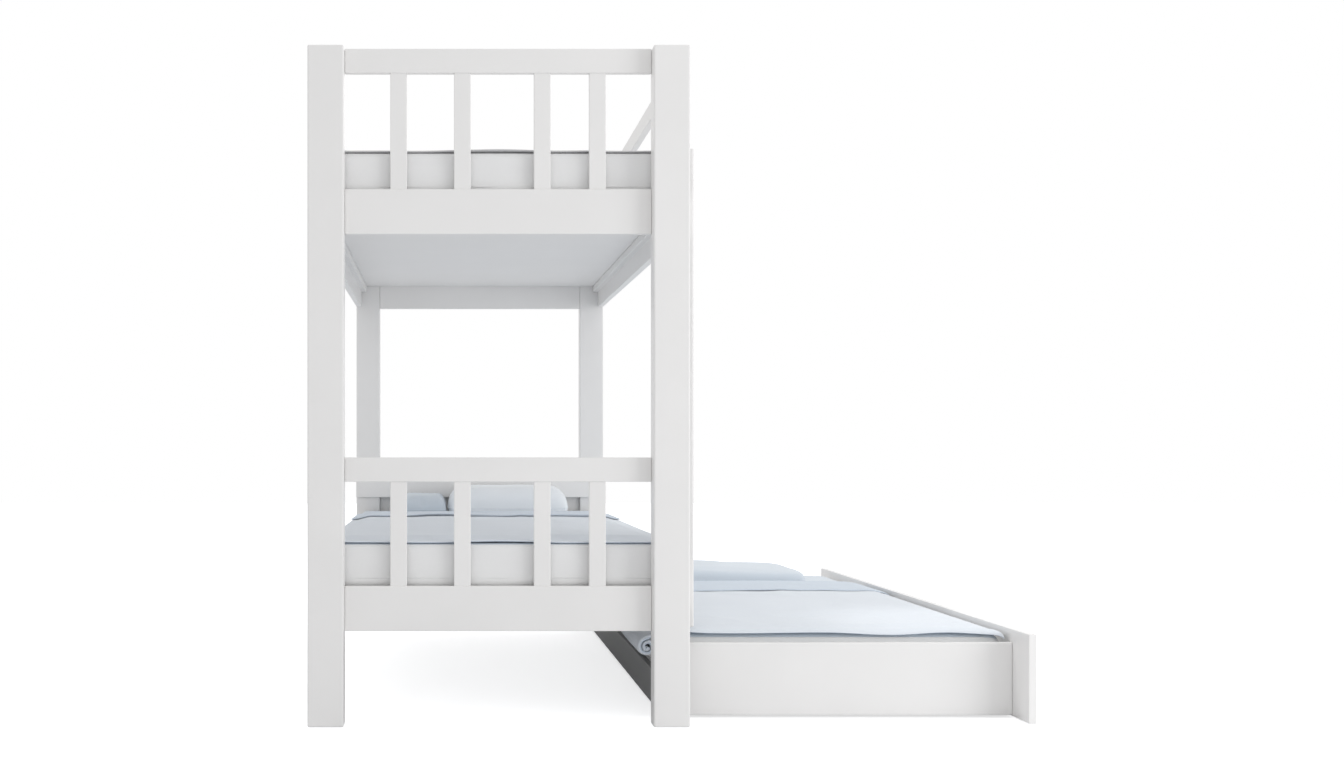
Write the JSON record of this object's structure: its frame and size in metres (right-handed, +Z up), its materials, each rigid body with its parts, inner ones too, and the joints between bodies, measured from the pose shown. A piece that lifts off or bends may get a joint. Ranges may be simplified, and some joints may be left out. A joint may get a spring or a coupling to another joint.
{
  "type": "bunk bed with trundle",
  "caption": "White bunk bed with slatted ends, guard rails, a side ladder and a wheeled trundle bed pulled out at the side, made up with mattresses, duvets and pillows.",
  "frame": {"origin": "on the floor, at the middle of the whole footprint with the trundle pulled out", "axes": "+X to the right, the way the trundle comes out; +Y from the foot end to the head end; +Z up"},
  "size_m": [1.8184, 2.12, 1.695],
  "materials": {
    "white_paint": "white satin lacquer",
    "zinc_steel": "bright zinc plated",
    "grey_rubber": "dark grey moulded rubber",
    "mattress_ticking": "plain white woven ticking",
    "duvet_cotton": "plain pale blue cotton",
    "pillow_cotton": "plain pale blue cotton"
  },
  "bodies": {
    "frame": {"post_foot_left": "white_paint", "post_foot_right": "white_paint", "post_head_left": "white_paint", "post_head_right": "white_paint", "upper_foot_top_rail": "white_paint", "upper_foot_end_rail": "white_paint", "upper_foot_slat_1": "white_paint", "upper_foot_slat_2": "white_paint", "upper_foot_slat_3": "white_paint", "upper_foot_slat_4": "white_paint", "lower_foot_top_rail": "white_paint", "lower_foot_end_rail": "white_paint", "lower_foot_slat_1": "white_paint", "lower_foot_slat_2": "white_paint", "lower_foot_slat_3": "white_paint", "lower_foot_slat_4": "white_paint", "upper_head_panel": "white_paint", "lower_head_end_rail": "white_paint", "headboard_plank": "white_paint", "headboard_panel": "white_paint", "upper_side_rail_left": "white_paint", "upper_side_rail_right": "white_paint", "lower_side_rail_left": "white_paint", "lower_side_rail_right": "white_paint", "upper_bed_board": "white_paint", "lower_bed_board": "white_paint", "guard_rail_right": "white_paint", "guard_upright_right_1": "white_paint", "guard_upright_right_2": "white_paint", "guard_left": "white_paint", "ladder_stile_foot": "white_paint", "ladder_stile_head": "white_paint", "ladder_rung_1": "white_paint", "ladder_rung_2": "white_paint", "ladder_rung_3": "white_paint", "ladder_rung_4": "white_paint", "ladder_hook_foot": "zinc_steel", "ladder_hook_head": "zinc_steel", "upper_mattress": "mattress_ticking", "lower_mattress": "mattress_ticking", "upper_duvet": "duvet_cotton", "lower_duvet": "duvet_cotton", "lower_pillow_left": "pillow_cotton", "lower_pillow_right": "pillow_cotton"},
    "trundle": {"trundle_front_panel": "white_paint", "trundle_foot_board": "white_paint", "trundle_head_board": "white_paint", "trundle_back_board": "white_paint", "trundle_base_board": "white_paint", "wheel_fork_1": "zinc_steel", "wheel_fork_2": "zinc_steel", "wheel_fork_3": "zinc_steel", "wheel_fork_4": "zinc_steel", "trundle_mattress": "mattress_ticking", "trundle_duvet": "duvet_cotton", "trundle_pillow": "pillow_cotton"},
    "wheel_1": {"trundle_wheel_1": "grey_rubber"},
    "wheel_2": {"trundle_wheel_2": "grey_rubber"},
    "wheel_3": {"trundle_wheel_3": "grey_rubber"},
    "wheel_4": {"trundle_wheel_4": "grey_rubber"}
  },
  "joints": [
    {"name": "trundle_slide", "type": "slide", "parent": "frame", "child": "trundle", "axis": [1, 0, 0], "range_m": [-0.847, 0]},
    {"name": "wheel_1_spin", "type": "hinge", "parent": "trundle", "child": "wheel_1", "pos_m": [0.12745, -0.671, 0.03], "axis": [0, 1, 0], "continuous": true},
    {"name": "wheel_2_spin", "type": "hinge", "parent": "trundle", "child": "wheel_2", "pos_m": [0.74885, -0.671, 0.03], "axis": [0, 1, 0], "continuous": true},
    {"name": "wheel_3_spin", "type": "hinge", "parent": "trundle", "child": "wheel_3", "pos_m": [0.12745, 0.671, 0.03], "axis": [0, 1, 0], "continuous": true},
    {"name": "wheel_4_spin", "type": "hinge", "parent": "trundle", "child": "wheel_4", "pos_m": [0.74885, 0.671, 0.03], "axis": [0, 1, 0], "continuous": true}
  ],
  "couplings": [
    {"joint": "wheel_1_spin", "follows": "trundle_slide", "rad_per_m": 33.333},
    {"joint": "wheel_2_spin", "follows": "trundle_slide", "rad_per_m": 33.333},
    {"joint": "wheel_3_spin", "follows": "trundle_slide", "rad_per_m": 33.333},
    {"joint": "wheel_4_spin", "follows": "trundle_slide", "rad_per_m": 33.333}
  ]
}
